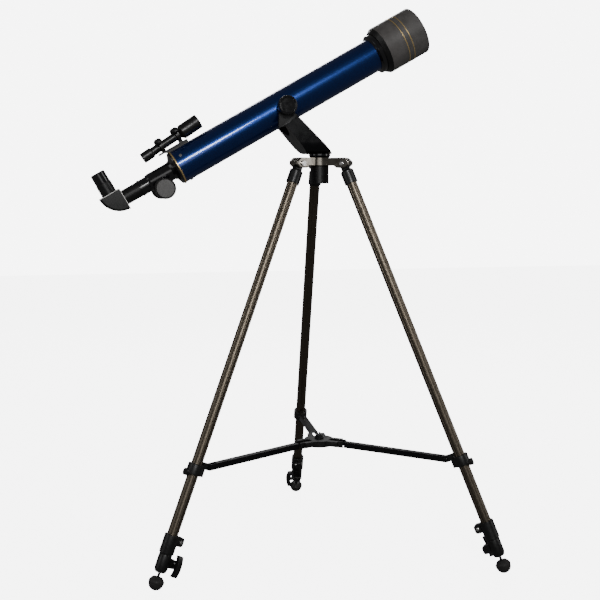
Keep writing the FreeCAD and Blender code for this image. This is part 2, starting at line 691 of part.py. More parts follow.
def azimuth_bolt():
    """The pan bolt, its head in the fork, and the nut that keeps it, up a pocket in the sleeve."""
    seat = FORK_FLOOR_Z + FORK_FLOOR
    shelf = SLEEVE_BOTTOM + NUT_POCKET
    end = shelf - 13
    head = hexagon(19, seat, seat + 7)
    bolt = head.fuse(rod(SPINDLE_R, vec(0, 0, end), vec(0, 0, seat))).removeSplitter()
    nut = hexagon(19, shelf - 11, shelf - 2)
    washer = rod(11, vec(0, 0, shelf - 2), vec(0, 0, shelf))
    hole = rod(SPINDLE_R, vec(0, 0, end), vec(0, 0, shelf))
    return Part.makeCompound([bolt, nut.cut(hole), washer.cut(hole)])


SLOT_IN = 38.0
HOOD = 3.2
HOOD_WALL = 2.5


def tripod_head():
    """A cast centre with three hooded lugs, each slotted for a leg's tongue."""
    reach = HINGE_R + LUG_REACH
    low = HINGE_Z - 8
    profile = [(0, HEAD_BOTTOM), (0, HEAD_TOP), (reach - 8, HEAD_TOP), (reach, HEAD_TOP - 7),
               (reach, low + 6), (reach - 8, low), (HINGE_R - 11, low), (HINGE_R - 18, HEAD_BOTTOM)]
    half = LUG_WIDTH / 2
    lug = plate(profile, -half, half)
    top_edges = [e for e in lug.Edges if e.BoundBox.XMin > 5 and e.BoundBox.YLength < 0.1]
    lug = lug.makeFillet(2.5, top_edges)
    slot_half = TONGUE / 2 + PLAY
    slot = block(SLOT_IN, reach - HOOD_WALL, -slot_half, slot_half, low - 5, HEAD_TOP - HOOD)
    pin = rod(HINGE_PIN_R + FIT, vec(HINGE_R, -30, HINGE_Z), vec(HINGE_R, 30, HINGE_Z))
    lug = without(lug, [slot, pin])
    centre = rod(0.5 * HINGE_R, vec(0, 0, HEAD_BOTTOM), vec(0, 0, HEAD_TOP))
    lugs = []
    for azimuth in LEG_AZIMUTHS.values():
        placed = lug.copy()
        placed.rotate(ORIGIN, Z, azimuth)
        lugs.append(placed)
    hole = rod(SPINDLE_R + FIT, vec(0, 0, HEAD_BOTTOM - 1), vec(0, 0, HEAD_TOP + 1))
    return joined([centre] + lugs).cut(hole)


def hinge_bolts():
    bolts = []
    half = LUG_WIDTH / 2
    for azimuth in LEG_AZIMUTHS.values():
        shank = rod(HINGE_PIN_R, vec(HINGE_R, -half - 3, HINGE_Z), vec(HINGE_R, half + 4, HINGE_Z))
        head = turned([(0, 0), (0, 5), (2, 4.4), (3, 2.5), (3, 0)], vec(0, -1, 0),
                      vec(HINGE_R, -half, HINGE_Z))
        nut = rod(5, vec(HINGE_R, half, HINGE_Z), vec(HINGE_R, half + 3.4, HINGE_Z))
        bolt = joined([shank, head, nut])
        bolt.rotate(ORIGIN, Z, azimuth)
        bolts.append(bolt)
    return Part.makeCompound(bolts)


def azimuth_sleeve():
    body = pipe(SLEEVE_R, SPINDLE_R + FIT, vec(0, 0, SLEEVE_BOTTOM), vec(0, 0, HEAD_BOTTOM))
    shelf = vec(0, 0, SLEEVE_BOTTOM + NUT_POCKET)
    return body.cut(rod(NUT_POCKET_R, vec(0, 0, SLEEVE_BOTTOM - 1), shelf))


# ---------------------------------------------------------------- legs

LEG_BORE = LEG_R - LEG_WALL
PLUG_TOP = 24.0


def down(distance, x=0.0, y=0.0):
    """A point in a leg's frame, so far down from the hinge."""
    return vec(x, y, -distance)


def leg_socket():
    half = TONGUE / 2
    cup = turned([(-SOCKET_END, LEG_R), (-SOCKET_END, SOCKET_R), (-SOCKET_TOP - 3, SOCKET_R),
                  (-SOCKET_TOP, SOCKET_R - 3), (-SOCKET_TOP, 0), (-PLUG_TOP, 0), (-PLUG_TOP, LEG_R)],
                 Z)
    tongue = rod(7, vec(0, -half, 0), vec(0, half, 0)).fuse(
        block(-7, 7, -half, half, -SOCKET_TOP - 1, 0))
    hole = rod(HINGE_PIN_R + FIT, vec(0, -20, 0), vec(0, 20, 0))
    return joined([cup, tongue]).cut(hole)


def leg_tube():
    tube = pipe(LEG_R, LEG_BORE, down(LEG_END), down(PLUG_TOP))
    flutes = []
    for i in range(FLUTES):
        turn = math.radians(360 * (i + 0.5) / FLUTES)
        x = (LEG_R + 0.55) * math.cos(turn)
        y = (LEG_R + 0.55) * math.sin(turn)
        flutes.append(rod(1.1, down(LEG_END + 1, x, y), down(PLUG_TOP - 1, x, y)))
    return tube.cut(Part.makeCompound(flutes))


UPPER_LUG = (COLLAR_TOP + 1.0, COLLAR_TOP + 18.0)
LOWER_LUG = (COLLAR_STEP + 7.0, COLLAR_STEP + 23.0)
LOWER_BORE = LOWER_R + PLAY
LUG_HALF = 6.0
LOCK_R = 2.5


def leg_collar():
    outline = [(-COLLAR_TOP, LEG_R), (-COLLAR_TOP, COLLAR_R - 1), (-COLLAR_TOP - 1, COLLAR_R),
               (-COLLAR_STEP + 1.2, COLLAR_R), (-COLLAR_STEP, COLLAR_LOW_R - 0.8),
               (-COLLAR_STEP - 1.2, COLLAR_LOW_R), (-COLLAR_END + 6, COLLAR_LOW_R),
               (-COLLAR_END, COLLAR_LOW_R - 2), (-COLLAR_END, LOWER_BORE), (-LEG_END, LOWER_BORE),
               (-LEG_END, LEG_R)]
    ring = turned(outline, Z)
    lugs = []
    for top, bottom in (UPPER_LUG, LOWER_LUG):
        lug = block(-LUG_IN, -LOWER_R - 2, -LUG_HALF, LUG_HALF, -bottom, -top)
        edges = [e for e in lug.Edges if e.BoundBox.XMax < -LUG_IN + 0.01 and e.BoundBox.YLength > 1]
        lugs.append(lug.makeFillet(5, edges))
    upper_middle = (UPPER_LUG[0] + UPPER_LUG[1]) / 2
    bore_up = rod(LEG_R, down(LEG_END), down(COLLAR_TOP - 1))
    bore_low = rod(LOWER_BORE, down(COLLAR_END + 1), down(LEG_END - 1))
    clamp = rod(1.6, down(upper_middle, -LOCK_IN, -20), down(upper_middle, -LOCK_IN, 20))
    lock = rod(LOCK_R + FIT, down(LOCK_DOWN, -LOCK_IN, -20), down(LOCK_DOWN, -LOCK_IN, 20))
    return without(joined([ring] + lugs), [bore_up, bore_low, clamp, lock])


def collar_screws():
    """The fixed clamp screw of the upper lug."""
    middle = (UPPER_LUG[0] + UPPER_LUG[1]) / 2
    shank = rod(1.6, down(middle, -LOCK_IN, -LUG_HALF - 1), down(middle, -LOCK_IN, LUG_HALF + 2.5))
    head = turned([(0, 0), (0, 3.2), (1.2, 3.2), (2.2, 1.8), (2.2, 0)], vec(0, -1, 0),
                  down(middle, -LOCK_IN, -LUG_HALF))
    nut = rod(3.0, down(middle, -LOCK_IN, LUG_HALF), down(middle, -LOCK_IN, LUG_HALF + 2))
    return joined([shank, head, nut])


STEM = 11.5
BAR_LENGTH = 38.0
BAR_DEEP = 9.0
BAR_BOW = 1.1 * BAR_LENGTH


def lock_screw():
    """A T-handled screw that clamps the lower leg: coned hub, then a bowed bar."""
    centre = down(LOCK_DOWN, -LOCK_IN, 0)
    shank = rod(LOCK_R, centre - Y * (LUG_HALF + 3), centre + Y * (LUG_HALF + STEM))
    start = centre + Y * (LUG_HALF + PLAY)
    cone = turned([(0, 0), (0, 5.5), (3, 4), (STEM, 4), (STEM, 0)], Y, start)
    base = centre + Y * (LUG_HALF + PLAY + STEM + BAR_DEEP - BAR_BOW)
    outer = rod(BAR_BOW, base - X * 4.5, base + X * 4.5)
    inner = rod(BAR_BOW, base - X * 5 - Y * BAR_DEEP, base + X * 5 - Y * BAR_DEEP)
    window = block(centre.x - 5, centre.x + 5, centre.y, centre.y + 60,
                   centre.z - BAR_LENGTH / 2, centre.z + BAR_LENGTH / 2)
    bar = outer.cut(inner).common(window)
    return joined([shank, cone, bar])


def spreader_bracket():
    """A ring clamped on the leg with a tongue inwards for the arm and a tab outwards."""
    top = RING_DOWN - 10
    bottom = RING_DOWN + 10
    wide = LEG_R + 4.5
    ring = turned([(-bottom, LEG_R), (-bottom, wide - 1), (-bottom + 1, wide), (-top - 1, wide),
                   (-top, wide - 1), (-top, LEG_R)], Z)
    inside = ARM_WIDTH / 2 - ARM_WALL - PLAY
    tongue = rod(6, down(ARM_PIN_DOWN, -ARM_PIN_IN, -inside), down(ARM_PIN_DOWN, -ARM_PIN_IN, inside))
    link = block(-ARM_PIN_IN, -LEG_R - 2, -inside, inside, -ARM_PIN_DOWN - 6, -ARM_PIN_DOWN + 6)
    strut = block(-LEG_R - 8.5, -LEG_R - 2, -inside, inside, -bottom, -top)
    tab = rod(6.5, down(bottom - 2, LEG_R + 2, 0), down(bottom - 2, LEG_R + 9, 0))
    pin = rod(ARM_PIN_R + FIT, down(ARM_PIN_DOWN, -ARM_PIN_IN, -20),
              down(ARM_PIN_DOWN, -ARM_PIN_IN, 20))
    bore = rod(LEG_R, down(bottom + 12), down(top - 5))
    return without(joined([ring, tongue, link, strut, tab]), [pin, bore])


def lower_leg():
    plug = turned([(-FOOT_DOWN + 4, 0), (-FOOT_DOWN + 4, 2.4), (-COLLAR_END - 1.5, 2.4),
                   (-COLLAR_END - 1.5, LOWER_R), (-LOWER_TOP, LOWER_R), (-LOWER_TOP, LOWER_R - 1.2),
                   (-COLLAR_END + 8, LOWER_R - 1.2), (-COLLAR_END + 8, 0)], Z)
    return plug


def foot(azimuth):
    """A rubber foot like a fat spinning top, flattened where it stands on the floor."""
    low = Part.makeSphere(FOOT_R, down(FOOT_DOWN))
    waist = turned([(-FOOT_DOWN - 3, 0), (-FOOT_DOWN - 3, FOOT_R - 0.6), (-FOOT_DOWN, FOOT_R + 0.5),
                    (-FOOT_DOWN + 4, FOOT_R + 0.5), (-FOOT_DOWN + 8, FOOT_R - 2.5),
                    (-FOOT_DOWN + 10.5, 6), (-FOOT_DOWN + 10.5, 0)], Z)
    top = block(-30, 30, -30, 30, -FOOT_DOWN + 10.5, -FOOT_DOWN + 30)
    body = low.fuse(waist).cut(top).cut(rod(2.4, down(FOOT_DOWN - 4), down(FOOT_DOWN - 30)))
    placed = on_leg(body.removeSplitter(), azimuth)
    return placed.cut(block(-600, 600, -600, 600, -50, 0))


# ---------------------------------------------------------------- spreader

def arm_pin_place():
    """Radius and height of an arm's outer pin with the legs open."""
    turn = math.radians(SPLAY)
    radius = HINGE_R + ARM_PIN_DOWN * math.sin(turn) - ARM_PIN_IN * math.cos(turn)
    height = HINGE_Z - ARM_PIN_DOWN * math.cos(turn) - ARM_PIN_IN * math.sin(turn)
    return radius, height


def spreader_arm(azimuth):
    """An inverted channel from the leg's pin towards the hub, notched over the pin."""
    radius, height = arm_pin_place()
    length = radius - HUB_EAR_END - 0.8
    half = ARM_WIDTH / 2
    high = ARM_HEIGHT / 2
    outer = block(-length, 0, -half, half, -high, high)
    outer = outer.fuse(rod(high, vec(0, -half, 0), vec(0, half, 0)))
    gap = block(-length - 1, high + 1, -half + ARM_WALL, half - ARM_WALL, -high - 1, high - ARM_WALL)
    notch = block(-ARM_NOTCH, high + 1, -half + ARM_WALL, half - ARM_WALL, -high - 1, high + 1)
    hole = rod(ARM_PIN_R, vec(0, -20, 0), vec(0, 20, 0))
    channel = without(outer, [gap, notch, hole]).removeSplitter()
    head = turned([(0, 0), (0, 4), (1.2, 3.6), (1.8, 2), (1.8, 0)], vec(0, -1, 0), vec(0, -half, 0))
    pin = joined([rod(ARM_PIN_R, vec(0, -half, 0), vec(0, half + 1.5, 0)), head,
                  rod(3.6, vec(0, half, 0), vec(0, half + 1.2, 0))])
    rise = math.degrees(math.atan2(HUB_RISE, radius - HUB_PIN_R))
    both = Part.makeCompound([channel, pin])
    both.rotate(ORIGIN, Y, rise)
    both.translate(vec(radius, 0, height))
    both.rotate(ORIGIN, Z, azimuth)
    return both


HUB_Z = arm_pin_place()[1] + HUB_RISE


def spreader_hub():
    """A three-sided plate with a pair of ears for each arm, and the bolt through it."""
    top = HUB_Z + HUB_HEIGHT / 2
    low = HUB_Z - HUB_HEIGHT / 2
    slot_half = ARM_WIDTH / 2 + 0.8
    ear_half = slot_half + HUB_EAR
    shapes = [rod(HUB_CORE_R + 6, vec(0, 0, low), vec(0, 0, top))]
    slots = []
    for azimuth in LEG_AZIMUTHS.values():
        ear = block(0, HUB_EAR_END, -ear_half, ear_half, low, top)
        slot = block(HUB_CORE_R, HUB_EAR_END + 1, -slot_half, slot_half, low - 1, top + 1)
        web = plate([(HUB_CORE_R, low + 2), (2 * HUB_CORE_R, low + 2), (2 * HUB_CORE_R, top),
                     (HUB_CORE_R, top)], -ear_half - 7, ear_half + 7)
        for shape in (ear, slot, web):
            shape.rotate(ORIGIN, Z, azimuth)
        shapes += [ear, web]
        slots.append(slot)
    hump = rod(9, vec(0, 0, top), vec(0, 0, top + 3))
    bolt = rod(4, vec(0, 0, low - 6), vec(0, 0, top + 4))
    hub = without(joined(shapes + [hump]), slots + [bolt])
    return Part.makeCompound([hub, hub_bolt()])


def hub_bolt():
    """The bolt and nut through the hub that hold an accessory tray."""
    top = HUB_Z + HUB_HEIGHT / 2 + 3
    low = HUB_Z - HUB_HEIGHT / 2
    nut = hexagon(13, top, top + 5)
    shank = rod(4, vec(0, 0, low - 4), vec(0, 0, top + 6))
    head = rod(7, vec(0, 0, low - 4), vec(0, 0, low))
    return joined([shank, head, nut])


# ---------------------------------------------------------------- write every sub-part

os.makedirs("parts", exist_ok=True)

TUBE_PARTS = {
    "main_tube": main_tube(), "rear_trim_ring": rear_trim_ring(),
    "rear_cell_screws": rear_cell_screws(), "tube_baffle": baffle(), "pivot_bosses": pivot_bosses(),
    "lens_cell": lens_cell(), "objective_lens": objective_lens(), "lens_retainer": lens_retainer(),
    "dew_shield": dew_shield(), "dew_shield_bands": dew_shield_bands(),
    "focuser_housing": focuser_housing(), "drawtube": drawtube(), "focus_rack": focus_rack(),
    "pinion_shaft": pinion_shaft(), "focus_knobs": focus_knobs(),
    "diagonal_housing": diagonal_housing(), "diagonal_prism": diagonal_prism(),
    "diagonal_plates": diagonal_plates(), "eyepiece_body": eyepiece_body(),
    "eyepiece_lenses": eyepiece_lenses(), "finder_tube": finder_tube(),
    "finder_lenses": finder_lenses(), "finder_bracket": finder_bracket(),
    "finder_thumbscrews": finder_thumbscrews(),
    "altitude_knob_near": altitude_knob(-1), "altitude_knob_far": altitude_knob(1),
}
for name, shape in TUBE_PARTS.items():
    save(name, on_tube(shape))

for name, shape in {"fork": fork(), "azimuth_bolt": azimuth_bolt(), "azimuth_disc": azimuth_disc(),
                    "azimuth_sleeve": azimuth_sleeve(), "tripod_head": tripod_head(),
                    "leg_hinge_bolts": hinge_bolts(), "spreader_hub": spreader_hub()}.items():
    save(name, shape)

LEG_PARTS = {"leg_socket": leg_socket(), "leg_tube": leg_tube(), "leg_collar": leg_collar(),
             "collar_screw": collar_screws(), "spreader_bracket": spreader_bracket(),
             "lower_leg": lower_leg(), "lock_screw": lock_screw()}
for leg, azimuth in LEG_AZIMUTHS.items():
    for name, shape in LEG_PARTS.items():
        save(name + "_" + leg, on_leg(shape, azimuth))
    save("foot_" + leg, foot(azimuth))
    save("spreader_arm_" + leg, spreader_arm(azimuth))
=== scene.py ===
import json
import math

import bmesh
import bpy
from mathutils import Matrix, Vector


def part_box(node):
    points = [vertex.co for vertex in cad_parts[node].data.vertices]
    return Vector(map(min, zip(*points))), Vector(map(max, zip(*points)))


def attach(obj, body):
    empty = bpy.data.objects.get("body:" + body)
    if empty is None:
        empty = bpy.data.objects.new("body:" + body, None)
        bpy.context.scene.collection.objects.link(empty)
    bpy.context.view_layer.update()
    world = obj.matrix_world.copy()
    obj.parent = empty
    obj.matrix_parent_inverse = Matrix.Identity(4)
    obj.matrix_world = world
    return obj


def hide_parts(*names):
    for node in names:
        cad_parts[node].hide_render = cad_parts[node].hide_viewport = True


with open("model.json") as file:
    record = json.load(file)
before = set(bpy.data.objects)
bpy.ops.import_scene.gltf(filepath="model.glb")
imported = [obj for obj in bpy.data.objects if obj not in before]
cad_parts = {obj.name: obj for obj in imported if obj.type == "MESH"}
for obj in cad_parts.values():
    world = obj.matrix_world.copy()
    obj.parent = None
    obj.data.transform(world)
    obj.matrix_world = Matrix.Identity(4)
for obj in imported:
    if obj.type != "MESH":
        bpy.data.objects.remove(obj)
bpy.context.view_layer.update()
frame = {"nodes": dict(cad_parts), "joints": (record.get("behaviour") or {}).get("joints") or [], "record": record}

# The studio: a sheet of white paper on the floor and a white wall all round. Both glow for the
# viewer alone and throw almost no light on the telescope, so that its black parts stay black.
FLOOR_SIZE = 14.0
PAPER_WHITE = 0.93
PAPER_GLOW = 6.0
WALL_LIGHT = 0.1
WALL_SEEN = 7.0

floor_mesh = bmesh.new()
bmesh.ops.create_grid(floor_mesh, x_segments=1, y_segments=1, size=FLOOR_SIZE / 2)
floor_data = bpy.data.meshes.new("studio_floor")
floor_mesh.to_mesh(floor_data)
floor_mesh.free()
floor = bpy.data.objects.new("studio_floor", floor_data)
bpy.context.scene.collection.objects.link(floor)
floor_paint = bpy.data.materials.new("studio_paper")
floor_paint.use_nodes = True
paper = floor_paint.node_tree.nodes["Principled BSDF"]
paper.inputs["Base Color"].default_value = (PAPER_WHITE, PAPER_WHITE, PAPER_WHITE, 1)
paper.inputs["Roughness"].default_value = 0.9
paper.inputs["Emission Color"].default_value = (1, 1, 1, 1)
paper.inputs["Emission Strength"].default_value = PAPER_GLOW
floor.visible_glossy = False
floor.visible_diffuse = False
floor_data.materials.append(floor_paint)

room = bpy.data.worlds.new("studio_room")
room.use_nodes = True
room_nodes = room.node_tree.nodes
room_nodes["Background"].inputs["Color"].default_value = (1, 1, 1, 1)
room_nodes["Background"].inputs["Strength"].default_value = WALL_LIGHT
seen_wall = room_nodes.new("ShaderNodeBackground")
seen_wall.inputs["Color"].default_value = (1, 1, 1, 1)
seen_wall.inputs["Strength"].default_value = WALL_SEEN
which_ray = room_nodes.new("ShaderNodeLightPath")
either_wall = room_nodes.new("ShaderNodeMixShader")
room.node_tree.links.new(which_ray.outputs["Is Camera Ray"], either_wall.inputs["Fac"])
room.node_tree.links.new(room_nodes["Background"].outputs[0], either_wall.inputs[1])
room.node_tree.links.new(seen_wall.outputs[0], either_wall.inputs[2])
room.node_tree.links.new(either_wall.outputs[0], room_nodes["World Output"].inputs["Surface"])
bpy.context.scene.world = room


# The lamps: a square soft key over the viewer's shoulder, a tall soft box on each side, a wide
# one low in front and a strip behind, high up. Each is hung at a place and faces a point.
def soft_lamp(name, place, aim, width, height, watts):
    """A rectangular soft lamp that faces a point."""
    lamp = bpy.data.lights.new(name, "AREA")
    lamp.shape = "RECTANGLE"
    lamp.size = width
    lamp.size_y = height
    lamp.energy = watts
    holder = bpy.data.objects.new(name, lamp)
    holder.location = place
    holder.rotation_euler = (Vector(aim) - Vector(place)).to_track_quat("-Z", "Y").to_euler()
    bpy.context.scene.collection.objects.link(holder)


soft_lamp("key", place=(-0.36, -3.77, 2.13), aim=(-0.1, 0, 0.8), width=0.55, height=0.55, watts=60)
soft_lamp("fill_left", place=(-2.6, -0.6, 1.2), aim=(0, 0, 0.5), width=1.1, height=2.2, watts=8)
soft_lamp("fill_right", place=(2.4, -1.1, 1.5), aim=(0, 0, 0.5), width=0.8, height=2.2, watts=12)
soft_lamp("front", place=(-0.9, -3.8, 1.1), aim=(0, 0, 0.6), width=2.6, height=1.2, watts=12)
soft_lamp("behind", place=(0.6, 2.4, 2.2), aim=(0, 0, 0.6), width=2.0, height=0.5, watts=30)

# The camera: it stands a little left of square on to the tube, near the height of the pan
# bearing, and looks slightly down, so that the whole stand and the raised tube fill the frame.
CAMERA_DISTANCE = 1.8988
CAMERA_HEIGHT = 0.691
CAMERA_BEARING = math.radians(14.486)
CAMERA_YAW = math.radians(1.124)
CAMERA_PITCH = math.radians(6.059)
CAMERA_LENS = 59.29

camera_data = bpy.data.cameras.new("camera")
camera_data.lens = CAMERA_LENS
camera = bpy.data.objects.new("camera", camera_data)
camera.location = (-math.sin(CAMERA_BEARING) * CAMERA_DISTANCE,
                   -math.cos(CAMERA_BEARING) * CAMERA_DISTANCE, CAMERA_HEIGHT)
camera.rotation_euler = (math.pi / 2 - CAMERA_PITCH, 0, CAMERA_YAW - CAMERA_BEARING)
bpy.context.scene.collection.objects.link(camera)
bpy.context.scene.camera = camera


# The tripod head: a cast aluminium disc with three hooded lugs for the legs. Its outside is
# polished by hand after casting, so the edges are well rounded and the faces swell a little.
class Finish:
    """A material under way: one Principled shader, with patterns in object coordinates."""

    def __init__(self, name, colour, roughness, metallic=0.0):
        self.material = bpy.data.materials.new(name)
        self.material.use_nodes = True
        self.nodes = self.material.node_tree.nodes
        self.links = self.material.node_tree.links
        self.shader = self.nodes["Principled BSDF"]
        self.place = self.nodes.new("ShaderNodeTexCoord").outputs["Object"]
        self.set("Base Color", (*colour, 1))
        self.set("Roughness", roughness)
        self.set("Metallic", metallic)

    def set(self, socket, value):
        self.shader.inputs[socket].default_value = value
        return self

    def noise(self, scale, detail):
        """A cloudy grey pattern, with so many waves in a metre."""
        pattern = self.nodes.new("ShaderNodeTexNoise")
        pattern.inputs["Scale"].default_value = scale
        pattern.inputs["Detail"].default_value = detail
        self.links.new(self.place, pattern.inputs["Vector"])
        return pattern.outputs["Fac"]

    def mottle(self, pattern, low, high, darkest=0.35, lightest=0.65):
        """Colour that varies between two colours, over that part of the pattern's greys."""
        ramp = self.nodes.new("ShaderNodeValToRGB")
        ramp.color_ramp.elements[0].position = darkest
        ramp.color_ramp.elements[0].color = (*low, 1)
        ramp.color_ramp.elements[1].position = lightest
        ramp.color_ramp.elements[1].color = (*high, 1)
        self.links.new(pattern, ramp.inputs["Fac"])
        self.links.new(ramp.outputs["Color"], self.shader.inputs["Base Color"])
        return self

    def sheen_change(self, pattern, low, high, darkest=0.3, lightest=0.7):
        """Roughness that varies between two values, over that part of the pattern's greys."""
        span = self.nodes.new("ShaderNodeMapRange")
        span.inputs["From Min"].default_value = darkest
        span.inputs["From Max"].default_value = lightest
        span.inputs["To Min"].default_value = low
        span.inputs["To Max"].default_value = high
        self.links.new(pattern, span.inputs["Value"])
        self.links.new(span.outputs["Result"], self.shader.inputs["Roughness"])
        return self

    def relief(self, pattern, depth_mm, strength):
        """Bump of so many millimetres."""
        bump = self.nodes.new("ShaderNodeBump")
        bump.inputs["Distance"].default_value = depth_mm / 1000
        bump.inputs["Strength"].default_value = strength
        self.links.new(pattern, bump.inputs["Height"])
        self.links.new(bump.outputs["Normal"], self.shader.inputs["Normal"])
        return self


body_of_node = {node: body for body, nodes in frame["record"]["behaviour"]["bodies"].items()
                for node in nodes}
SAME_POINT = 0.00001
FLAT_WITHIN = math.radians(0.5)


def softened(node, material, edge_mm, segments=2, angle=28):
    """A finished copy of a machined or moulded piece: its loose mesh made whole, edges rounded."""
    shell = bmesh.new()
    shell.from_mesh(frame["nodes"][node].data)
    bmesh.ops.remove_doubles(shell, verts=shell.verts, dist=SAME_POINT)
    bmesh.ops.dissolve_limit(shell, angle_limit=FLAT_WITHIN, verts=shell.verts, edges=shell.edges)
    data = bpy.data.meshes.new(node + "_finished")
    shell.to_mesh(data)
    shell.free()
    data.shade_smooth()
    data.set_sharp_from_angle(angle=math.radians(angle))
    data.materials.clear()
    data.materials.append(material)
    piece = bpy.data.objects.new(node + "_finished", data)
    bpy.context.scene.collection.objects.link(piece)
    if edge_mm:
        rounding = piece.modifiers.new("rounded_edges", "BEVEL")
        rounding.width = edge_mm / 1000
        rounding.segments = segments
        rounding.limit_method = "ANGLE"
        rounding.angle_limit = math.radians(angle)
    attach(piece, body_of_node[node])
    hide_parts(node)
    return piece


cast = Finish("polished_casting", colour=(0.3, 0.275, 0.235), roughness=0.2, metallic=1.0)
cast.mottle(cast.noise(scale=40, detail=4), low=(0.22, 0.2, 0.17), high=(0.36, 0.335, 0.295))
cast.relief(cast.noise(scale=70, detail=2), depth_mm=0.9, strength=0.6)
softened("tripod_head", cast.material, edge_mm=2.4, segments=4)

# The leg hinge bolts: three turned steel bolts with coned heads, zinc plated bright. Each one
# passes through a lug of the head and the socket's tongue in it, and a round nut keeps it.
steel = Finish("bright_steel", colour=(0.72, 0.71, 0.69), roughness=0.26, metallic=1.0)
steel.mottle(steel.noise(scale=500, detail=3), low=(0.6, 0.59, 0.57), high=(0.8, 0.79, 0.77))
steel.sheen_change(steel.noise(scale=700, detail=2), low=0.18, high=0.36)
softened("leg_hinge_bolts", steel.material, edge_mm=0.15)

# The leg sockets: black plastic mouldings with a satin skin. Each one is pushed over the top of
# a leg tube, and its tongue stands up in the slot of a lug.
LEGS = ("rear", "left", "right")
satin = Finish("black_satin", colour=(0.006, 0.006, 0.006), roughness=0.36)
satin.sheen_change(satin.noise(scale=260, detail=3), low=0.28, high=0.46)
satin.relief(satin.noise(scale=1400, detail=2), depth_mm=0.02, strength=0.5)
for leg in LEGS:
    softened("leg_socket_" + leg, satin.material, edge_mm=0.5)

# The leg tubes: extruded aluminium with fine flutes all round, anodised a dark bronze. The
# flutes are left crisp, so each one carries its own thin streak of light.
for leg in LEGS:
    bronze = Finish("anodised_" + leg, colour=(0.13, 0.11, 0.084), roughness=0.36, metallic=1.0)
    bronze.mottle(bronze.noise(scale=350, detail=3), low=(0.11, 0.092, 0.07),
                  high=(0.15, 0.128, 0.1))
    bronze.sheen_change(bronze.noise(scale=160, detail=2), low=0.33, high=0.4)
    softened("leg_tube_" + leg, bronze.material, edge_mm=0, angle=1)

# The spreader brackets and leg collars: black plastic rings, moulded in one piece with their
# tongues, tabs and lugs. The bracket is clamped low on the leg tube, the collar at its end.
for leg in LEGS:
    softened("spreader_bracket_" + leg, satin.material, edge_mm=0.5)
    softened("leg_collar_" + leg, satin.material, edge_mm=0.5)

# The collar screws: small bright steel screws with round nuts. Each one crosses the upper lug
# of a collar and holds the collar fast on its leg tube.
for leg in LEGS:
    softened("collar_screw_" + leg, steel.material, edge_mm=0.2)

# The lock screws: black plastic T handles with a coned hub and a bowed bar, moulded round a
# threaded shank. Each one is turned by hand in the lower lug of a collar, to hold the lower leg.
for leg in LEGS:
    softened("lock_screw_" + leg, satin.material, edge_mm=0.5)

# The lower legs: plain drawn aluminium tubes that slide in the leg tubes. A black plug closes
# the lower end of each one and necks down to a thin stem that holds the foot.
NECK_TOP = 0.045
drawn = Finish("drawn_tube", colour=(0.5, 0.5, 0.5), roughness=0.3, metallic=1.0)
drawn.sheen_change(drawn.noise(scale=300, detail=2), low=0.2, high=0.4)
for leg in LEGS:
    lower_leg = softened("lower_leg_" + leg, drawn.material, edge_mm=0.3)
    lower_leg.data.materials.append(satin.material)
    for face in lower_leg.data.polygons:
        face.material_index = int(face.center.z < NECK_TOP)

# The feet: fat spinning tops of black rubber, flat below, moulded with a hollow for the stem of
# the lower leg. They are pushed on and stay there by their own grip.
rubber = Finish("black_rubber", colour=(0.018, 0.017, 0.016), roughness=0.55)
rubber.relief(rubber.noise(scale=500, detail=3), depth_mm=0.06, strength=0.5)
rubber.sheen_change(rubber.noise(scale=80, detail=2), low=0.42, high=0.65)
for leg in LEGS:
    softened("foot_" + leg, rubber.material, edge_mm=0.5)

# The spreader arms: inverted channels of folded sheet steel in black enamel. Each one is
# pinned to its leg bracket at the outer end and meets the ears of the hub at the inner end.
enamel = Finish("black_enamel", colour=(0.003, 0.003, 0.004), roughness=0.3)
enamel.sheen_change(enamel.noise(scale=90, detail=3), low=0.24, high=0.38)
enamel.relief(enamel.noise(scale=420, detail=2), depth_mm=0.03, strength=0.35)
enamel.set("Specular IOR Level", 0.3)
for leg in LEGS:
    softened("spreader_arm_" + leg, enamel.material, edge_mm=0.5)

# The spreader hub: a three-sided black plastic plate, moulded with a pair of ears for each arm,
# with the bolt and nut through its middle that hold an accessory tray.
softened("spreader_hub", satin.material, edge_mm=0.4)

# The pan bearing: a black plastic sleeve under the head, and a round glossy disc on top of it
# that the fork turns on. Both are plain mouldings, and the pan bolt clamps them.
gloss = Finish("black_gloss", colour=(0.005, 0.005, 0.006), roughness=0.16)
gloss.sheen_change(gloss.noise(scale=120, detail=3), low=0.10, high=0.24)
gloss.relief(gloss.noise(scale=140, detail=2), depth_mm=0.015, strength=0.3)
gloss.set("Coat Weight", 0.6).set("Coat Roughness", 0.12)
softened("azimuth_sleeve", satin.material, edge_mm=0.4)
softened("azimuth_disc", gloss.material, edge_mm=0.4)

# The pan bolt: a bright steel bolt, its hexagon head in the fork, that runs down through disc,
# head and sleeve. What stands near the sleeve's open lower end is painted black: painted shade from that opening.
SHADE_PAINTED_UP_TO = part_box("azimuth_sleeve")[0][2] + 0.001
pan_bolt = softened("azimuth_bolt", steel.material, edge_mm=0.15)
# painted shade: the bolt's faces below the sleeve's lower end get the black satin material
pan_bolt.data.materials.append(satin.material)
for face in pan_bolt.data.polygons:
    face.material_index = int(face.center.z < SHADE_PAINTED_UP_TO)

# The fork: a U of pressed steel in black enamel, with a web between its two cheeks, which lean
# back. It is bolted down on the pan bearing and carries the tube between the cheeks.
softened("fork", enamel.material, edge_mm=0.8)

# The optical tube: rolled aluminium, sprayed with a metallic dark blue enamel under clear
# lacquer. It is 63 mm across, cut square at both ends.
blue = Finish("blue_enamel", colour=(0.01, 0.04, 0.2), roughness=0.3, metallic=0.8)
blue.mottle(blue.noise(scale=2600, detail=1), low=(0.002, 0.010, 0.075), high=(0.012, 0.05, 0.24))
blue.relief(blue.noise(scale=55, detail=3), depth_mm=0.02, strength=0.25)
blue.set("Coat Weight", 0.6).set("Coat Roughness", 0.07)
softened("main_tube", blue.material, edge_mm=0.3)

